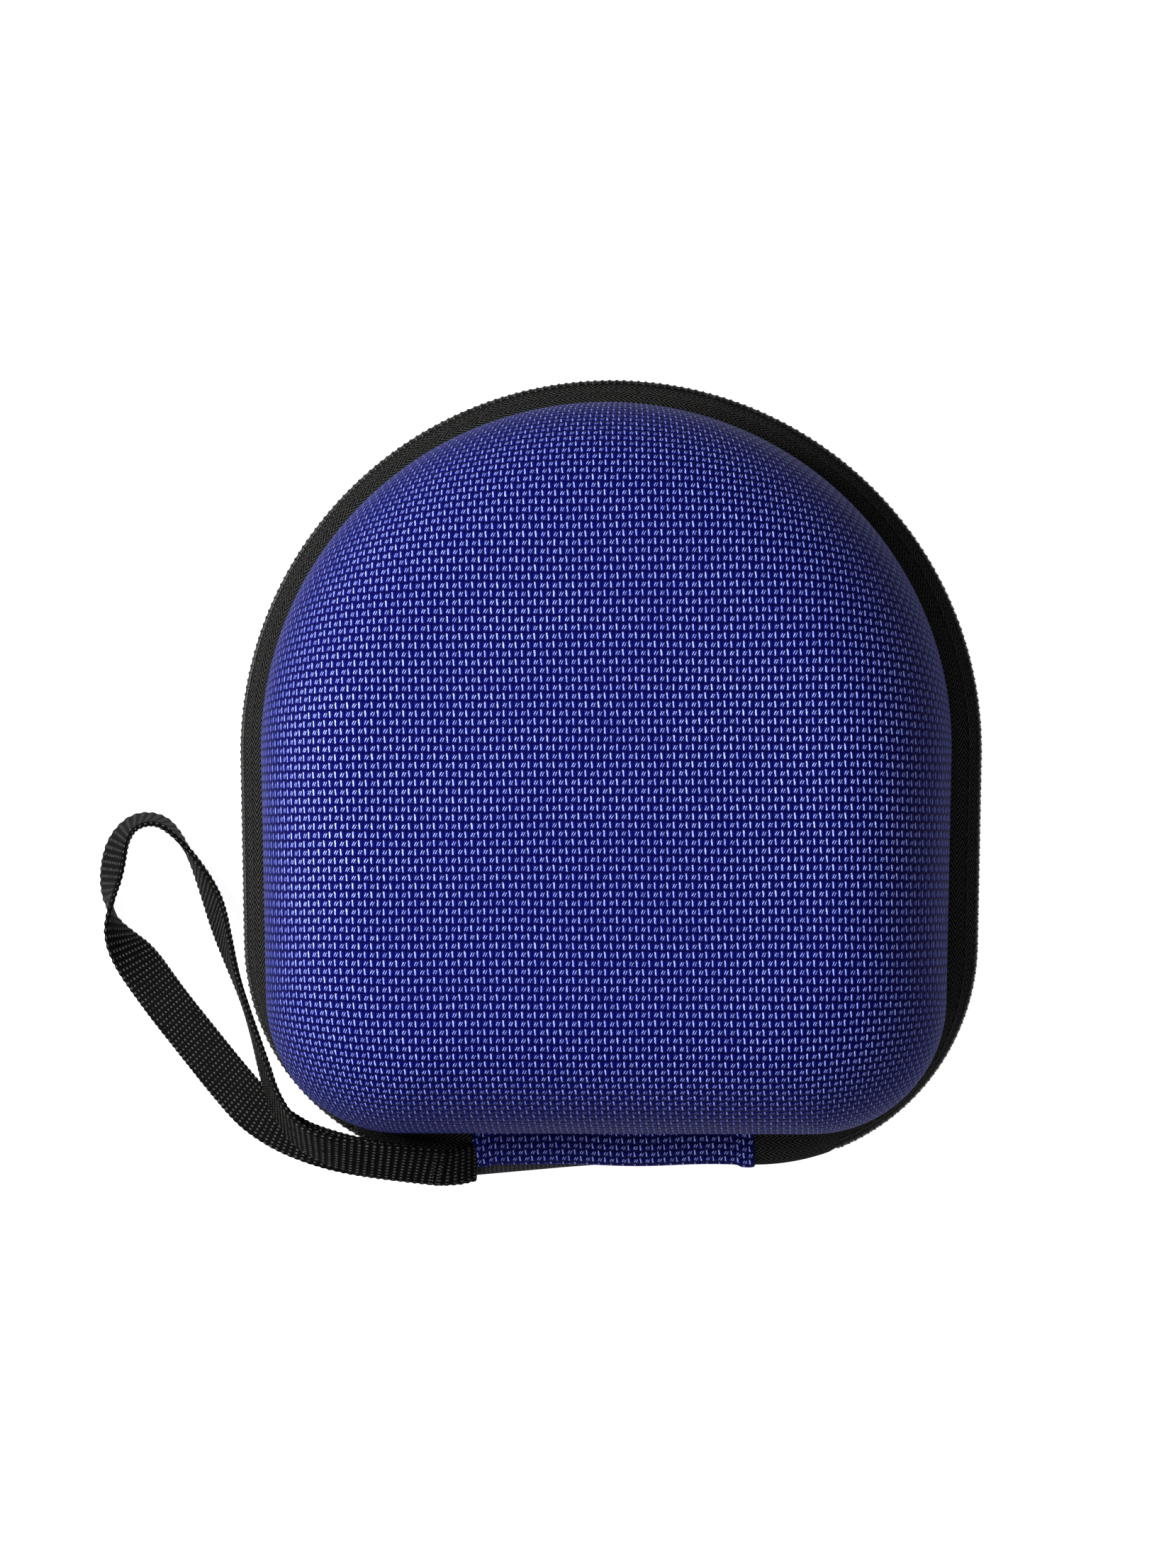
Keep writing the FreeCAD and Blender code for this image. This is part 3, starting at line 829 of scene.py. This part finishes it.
def blue_weave():
    """Coarse plain weave of nylon yarns: painted glints of light on the crowns, and navy between them."""
    m = Surface("blue_weave")
    x, y = m.cloth(WARP_PITCH, WEFT_PITCH)
    wander = m.math("MULTIPLY", m.math("SUBTRACT", m.noise(60.0, 2.0), 0.5), 0.5)
    x = m.math("ADD", x, wander)
    y = m.math("ADD", y, m.math("MULTIPLY", m.math("SUBTRACT", m.noise(35.0, 2.0), 0.5), 0.5))
    cell = m.math("ADD", m.math("FLOOR", x), m.math("FLOOR", y))
    weft_up = m.math("FLOORED_MODULO", cell, 2.0)
    across, along = centred(m, x), centred(m, y)
    height = m.blend(weft_up, round_yarn(m, across, along), round_yarn(m, along, across))
    ragged = m.math("MULTIPLY", m.math("SUBTRACT", m.noise(2200.0, 1.0), 0.5), 0.22)
    rough_across = m.math("ADD", across, ragged)
    # Painted glints of light: slanted streaks on the weft where it lies on top, and a thin bar on the warp
    # where it lies on top
    weft_glints = glint_streaks(m, rough_across, along, count=2.6, lean=0.75, width=0.08)
    weft_glints = m.math("MULTIPLY", weft_glints, within(m, along, middle=0.02, half=0.17, soft=0.13))
    weft_glints = m.math("MULTIPLY", weft_glints, within(m, across, middle=0.04, half=0.3, soft=0.1))
    warp_glint_place = m.math("ADD", rough_across, m.math("MULTIPLY", along, 0.14))
    warp_glint_width = within(m, warp_glint_place, middle=-0.16, half=0.05, soft=0.1)
    warp_glint_length = within(m, along, middle=0.06, half=0.32, soft=0.1)
    warp_glints = m.math("MULTIPLY", warp_glint_width, warp_glint_length)
    # The painted glints are dimmed where the cloth turns from facing up towards an upright wall: painted
    # shade by which way the cloth faces
    steep = m.math("ABSOLUTE", m.facing_up())
    weft_glints = m.math("MULTIPLY", weft_glints, m.blend(m.clamp(steep, 0.45, 0.85), 0.2, 1.0))
    warp_glints = m.math("MULTIPLY", warp_glints, m.blend(m.clamp(steep, 0.3, 0.95), 0.4, 1.0))
    glints = m.blend(weft_up, warp_glints, weft_glints)
    shine = m.math("MULTIPLY", glints, m.blend(m.clamp(m.noise(700.0, 1.0), 0.3, 0.6), 0.65, 1.0))
    shine = m.math("MULTIPLY", shine, m.blend(m.clamp(m.noise(14.0, 2.0), 0.35, 0.65), 0.72, 1.0))
    body = m.mix(m.clamp(height, 0.1, 0.95), WEAVE_DARK, WEAVE_MID)
    # The painted glints are laid over the cloth's colour
    colour = m.mix(shine, body, WEAVE_PAINTED_GLINT)
    fine = m.math("ADD", height, m.math("MULTIPLY", glints, 0.2))
    return m.finish(colour, m.blend(shine, 0.6, 0.4), fine, 0.3 * MM, Specular_IOR_Level=CLOTH_GLOSS)


def herringbone(name, bone, dark, light):
    """Twill tape: fine slanted ribs that change direction in stripes along the tape."""
    m = Surface(name)
    x, y = m.cloth(1.1 * MM, bone)
    fold = m.math("ABSOLUTE", centred(m, y))
    rib = m.math("SINE", m.math("MULTIPLY", m.math("ADD", x, m.math("MULTIPLY", fold, 4.0)), 2 * math.pi))
    yarn = m.math("SINE", m.math("MULTIPLY", y, 2 * math.pi * 9))
    height = m.math("ADD", m.math("MULTIPLY", rib, 0.5), m.math("MULTIPLY", yarn, 0.2))
    speck = m.noise(1500.0, 2.0)
    colour = m.mix(m.clamp(m.math("ADD", height, m.math("MULTIPLY", speck, 0.6)), 0.15, 0.95), dark, light)
    return m.finish(colour, 0.72, height, 0.12 * MM, Specular_IOR_Level=CLOTH_GLOSS)


def webbing():
    """Ribbed nylon webbing: each rib is a row of short bright yarns, with dark grooves between."""
    m = Surface("webbing")
    x, y = m.cloth(RIB_PITCH, 0.78 * MM)
    rib = m.math("COSINE", m.math("MULTIPLY", x, 2 * math.pi))
    yarn = m.math("COSINE", m.math("MULTIPLY", m.math("ADD", y, m.math("MULTIPLY", x, 0.08)), 2 * math.pi))
    crest = m.clamp(rib, -0.1, 0.8)
    dash = m.clamp(yarn, -0.2, 0.7)
    speck = m.noise(1200.0, 2.0)
    bright = m.math("MULTIPLY", m.math("MULTIPLY", crest, dash), m.clamp(speck, 0.2, 0.6))
    colour = m.mix(bright, (0.0018, 0.0018, 0.0020, 1), (0.062, 0.060, 0.054, 1))
    bead = m.math("MULTIPLY", yarn, crest)
    height = m.math("ADD", m.math("MULTIPLY", rib, 0.4), m.math("MULTIPLY", bead, 0.5))
    return m.finish(colour, 0.65, height, 0.2 * MM, Specular_IOR_Level=CLOTH_GLOSS)


def knit_lining(name, dark, light):
    """A smooth warp-knitted lining: fine upright ribs of small loops."""
    m = Surface(name)
    x, y = m.cloth(0.9 * MM, 0.7 * MM)
    column = m.math("COSINE", m.math("MULTIPLY", x, 2 * math.pi))
    wavy = m.math("ADD", y, m.math("MULTIPLY", column, 0.2))
    loop = m.math("COSINE", m.math("MULTIPLY", wavy, 2 * math.pi))
    height = m.math("ADD", column, m.math("MULTIPLY", loop, 0.5))
    cloud = m.noise(40.0, 3.0)
    colour = m.mix(m.clamp(m.math("ADD", height, cloud), -1.0, 2.2), dark, light)
    return m.finish(colour, 0.85, height, 0.08 * MM, Specular_IOR_Level=0.1)


def ribbed_binding():
    """Grosgrain binding: fine ribs across its length."""
    m = Surface("ribbed_binding")
    x, y = m.cloth(0.8 * MM, 0.5 * MM)
    rib = m.math("COSINE", m.math("MULTIPLY", x, 2 * math.pi))
    yarn = m.math("COSINE", m.math("MULTIPLY", y, 2 * math.pi))
    height = m.math("ADD", rib, m.math("MULTIPLY", yarn, 0.25))
    colour = m.mix(m.clamp(height, -0.8, 1.1), (0.006, 0.006, 0.008, 1), (0.035, 0.035, 0.04, 1))
    return m.finish(colour, 0.7, height, 0.1 * MM, Sheen_Weight=0.2, Sheen_Roughness=0.4)


def nylon_coil():
    """Moulded nylon monofilament: smooth, dark and a little glossy, duller where the slider rubs."""
    m = Surface("nylon_coil")
    worn = m.noise(500.0, 3.0)
    colour = m.mix(m.clamp(worn, 0.35, 0.75), (0.004, 0.004, 0.004, 1), (0.016, 0.016, 0.015, 1))
    rough = m.blend(worn, 0.3, 0.5)
    return m.finish(colour, rough, m.noise(2500.0, 2.0), 0.01 * MM, Specular_IOR_Level=0.25)


def sewing_thread():
    """Twisted black thread."""
    m = Surface("sewing_thread")
    x, y = m.cloth(0.35 * MM, 1.0 * MM)
    ply = m.math("SINE", m.math("MULTIPLY", m.math("ADD", x, y), 2 * math.pi))
    colour = m.mix(m.clamp(ply, -0.6, 0.9), (0.002, 0.002, 0.002, 1), (0.018, 0.018, 0.018, 1))
    return m.finish(colour, 0.6, ply, 0.03 * MM, Specular_IOR_Level=0.1)


def lacquered_metal():
    """Dark satin lacquer on die-cast zinc, scuffed by use."""
    m = Surface("lacquered_metal")
    cloud = m.noise(250.0, 4.0)
    scuff = m.noise(900.0, 4.0, stretch=(1.0, 5.0, 1.0))
    colour = m.mix(m.clamp(cloud, 0.3, 0.7), (0.030, 0.030, 0.033, 1), (0.055, 0.055, 0.058, 1))
    colour = m.mix(m.clamp(scuff, 0.66, 0.8), colour, (0.16, 0.16, 0.165, 1))
    rough = m.blend(cloud, 0.3, 0.5)
    return m.finish(colour, rough, scuff, 0.02 * MM, Metallic=0.65)


def eva_foam():
    """Closed-cell foam with fine pores."""
    m = Surface("eva_foam")
    cells = m.noise(1800.0, 3.0)
    colour = m.mix(cells, (0.02, 0.02, 0.022, 1), (0.05, 0.05, 0.055, 1))
    return m.finish(colour, 0.9, cells, 0.08 * MM)


def pale_floor():
    """A plain floor that glows, so that it looks white even in a shadow."""
    m = Surface("pale_floor")
    colour = m.mix(m.noise(6.0, 2.0), (0.5, 0.5, 0.5, 1), (0.52, 0.52, 0.52, 1))
    return m.finish(colour, 0.8, Emission_Color=(1.0, 1.0, 1.0, 1), Emission_Strength=FLOOR_GLOW)


BLUE = blue_weave()
TAPE = herringbone("herringbone_tape", 2.6 * MM, (0.0015, 0.0015, 0.0017, 1), (0.037, 0.039, 0.035, 1))
WEBBING = webbing()
LINING = knit_lining("knit_lining", (0.012, 0.012, 0.015, 1), (0.055, 0.055, 0.062, 1))
BACKING = knit_lining("hinge_backing_cloth", (0.010, 0.010, 0.013, 1), (0.04, 0.04, 0.046, 1))
BINDING = ribbed_binding()
COIL = nylon_coil()
THREAD = sewing_thread()
METAL = lacquered_metal()
FOAM = eva_foam()


# ---------------------------------------------------------------- the case


def make_half(half, side, crown):
    """One shell with its layers and its binding."""
    depth = [0.0, SKIN_T, SKIN_T + FOAM_T, SKIN_T + FOAM_T + LINING_T]
    layers = [
        ("cover", BLUE, "fabric_skin", "blue_fabric"),
        ("foam", FOAM, "foam_shell", "foam"),
        ("liner", LINING, "lining", "lining"),
    ]
    for k, (name, material, node, slot) in enumerate(layers):
        between = depth[k : k + 2]
        obj = dome_piece(f"{half}_{name}", side, between, crown, material, half, f"{half}_{node}")
    binding = make_binding(f"{half}_edge_binding", side, half, f"{half}_rim_binding")


def seam_line(start, end, side, share):
    """A line on the outside of the tape, share of the way from the coil to the rim."""
    s = np.linspace(start, end, max(8, round((end - start) / (1.0 * MM))))
    rings = tape_rings(s, side)
    low, high = rings[int(share * 8)], rings[int(share * 8) + 1]
    return low + (high - low) * (share * 8 % 1)


def make_zip():
    """Both sides of the zip, and the tail of its lid side, which stays by the slider."""
    tail = track_at_x(TAIL_LOW[0])
    runs = [("lid", 1, tail, tail, 0.0), ("base", -1, TRACK_END, COIL_END, 0.5)]
    for half, side, tape_end, coil_end, phase in runs:
        tape = make_tape(f"{half}_tape", TRACK_START, tape_end, side, half, f"{half}_zip_tape")
        coil = make_coil(f"{half}_coil", COIL_START, coil_end, side, phase, half, f"{half}_zip_coil")
        line = seam_line(COIL_START, coil_end, side, 0.3)
        row = stitch_row(f"{half}_coil_seam", line, 2.1 * MM, 0.7 * MM, 0.2 * MM, half)
    tape = make_tape("tail_tape", tail, TRACK_END, 1, None, "zip_tail_tape")
    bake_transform(tape)
    coil = make_coil("tail_coil", tail, COIL_END, 1, 0.0, "base", "zip_tail_coil")


def make_hinge():
    """The blue strip with its ends folded under, and the grey backing inside it, whose edge hangs out below
    the ridge as painted shade under the strip's fold.
    """
    strip = strip_piece(
        "hinge_cloth",
        "hinge_strip",
        BLUE,
        STRIP_LEFT,
        STRIP_RIGHT,
        STRIP_DEPTHS,
        bulge=0.35 * MM,
        fold=0.5 * MM,
        wave=0.25 * MM,
    )
    inner = strip_piece(
        "hinge_backing",
        "hinge_lining",
        BACKING,
        STRIP_LEFT - 0.3 * MM,
        STRIP_RIGHT - MM,
        BACKING_DEPTHS,
        bulge=0.3 * MM,
        # The backing's edge hangs out below the ridge as painted shade
        shade_lip=SHADE_LIP_REACH,
    )


def finish_metal():
    """The slider and the pull keep their CAD shapes, with their edges rounded and a new finish."""
    for name, width in (("slider_body", 0.3), ("slider_bridge", 0.25), ("pull_tab", 0.3)):
        obj = frame["nodes"][name]
        for k in range(len(obj.material_slots)):
            obj.material_slots[k].link = "OBJECT"
            obj.material_slots[k].material = METAL
        bevel = obj.modifiers.new("rounded", "BEVEL")
        bevel.width = width * MM
        bevel.segments = 3
        bevel.limit_method = "ANGLE"


# ---------------------------------------------------------------- the scene


def make_stage():
    """A white floor, a soft light over the upper left and a larger, weaker one by the hinge end."""
    mesh = bpy.data.meshes.new("floor")
    far = FLOOR_HALF
    mesh.from_pydata([(-far, -far, 0), (far, -far, 0), (far, far, 0), (-far, far, 0)], [], [(0, 1, 2, 3)])
    mesh.materials.append(pale_floor())
    floor = bpy.data.objects.new("floor", mesh)
    bpy.context.scene.collection.objects.link(floor)
    world = bpy.data.worlds.new("studio")
    world.use_nodes = True
    world.node_tree.nodes["Background"].inputs[0].default_value = (1.0, 1.0, 1.0, 1)
    world.node_tree.nodes["Background"].inputs[1].default_value = WORLD_LIGHT
    bpy.context.scene.world = world
    bpy.context.scene.view_settings.view_transform = "Standard"
    for name, (place, size, power) in LAMPS.items():
        light = bpy.data.lights.new(name, "AREA")
        light.size = size
        light.energy = power
        lamp = bpy.data.objects.new(name, light)
        lamp.location = place
        lamp.rotation_euler = (Vector((0, 0, MID_Z)) - lamp.location).to_track_quat("-Z", "Y").to_euler()
        bpy.context.scene.collection.objects.link(lamp)


def make_camera():
    """From almost straight above, leaning a little to the right and to the hinge end."""
    away = Vector((math.tan(CAMERA_LEAN_RIGHT), -math.tan(CAMERA_LEAN_TO_HINGE), 1.0)).normalized()
    data = bpy.data.cameras.new("camera")
    data.sensor_fit = "VERTICAL"
    data.sensor_height = 36.0
    data.lens = data.sensor_height * CAMERA_DISTANCE / SEEN_HEIGHT
    camera = bpy.data.objects.new("camera", data)
    camera.location = CAMERA_TARGET + away * CAMERA_DISTANCE
    right = Vector((0, 1, 0)).cross(away).normalized()
    camera.rotation_euler = Matrix((right, away.cross(right), away)).transposed().to_euler()
    bpy.context.scene.collection.objects.link(camera)
    bpy.context.scene.camera = camera


make_camera()
make_stage()
make_strap()
make_half("lid", 1, LID_CROWN)
make_half("base", -1, 0.0)
make_zip()
make_hinge()
finish_metal()
